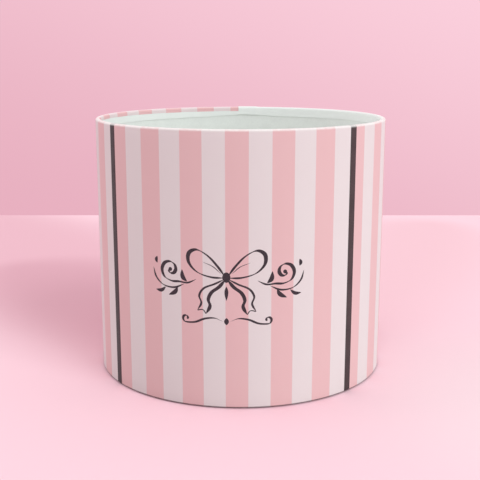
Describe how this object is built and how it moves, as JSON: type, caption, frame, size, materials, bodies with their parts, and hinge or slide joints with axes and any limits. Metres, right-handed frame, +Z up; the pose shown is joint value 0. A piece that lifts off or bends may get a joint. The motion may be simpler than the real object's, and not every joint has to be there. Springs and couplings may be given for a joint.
{
  "type": "hatbox",
  "caption": "Round rigid-board hatbox, open at the top: a rolled greyboard wall on a flat base, covered with striped paper turned over its rounded rim.",
  "frame": {"origin": "centre of the base's underside, on the surface that the box stands on", "axes": "+Z up along the box's axis, out of its open top; -Y is the front of the print, with the stripes' middle 5 degrees to its left; +X to the right"},
  "size_m": [0.16, 0.1603, 0.1403],
  "materials": {
    "wrap_paper": "satin printed paper, pink and white stripes with two dark lines",
    "greyboard": "matte recycled board",
    "lining_paper": "matte uncoated white paper",
    "cover_paper": "matte uncoated white paper"
  },
  "bodies": {
    "root": {"outer_wrap": "wrap_paper", "wall_outer_ply": "greyboard", "wall_inner_ply": "greyboard", "wall_lining": "lining_paper", "base_lower_board": "greyboard", "base_upper_board": "greyboard", "floor_lining": "lining_paper", "base_cover": "cover_paper"}
  },
  "joints": []
}
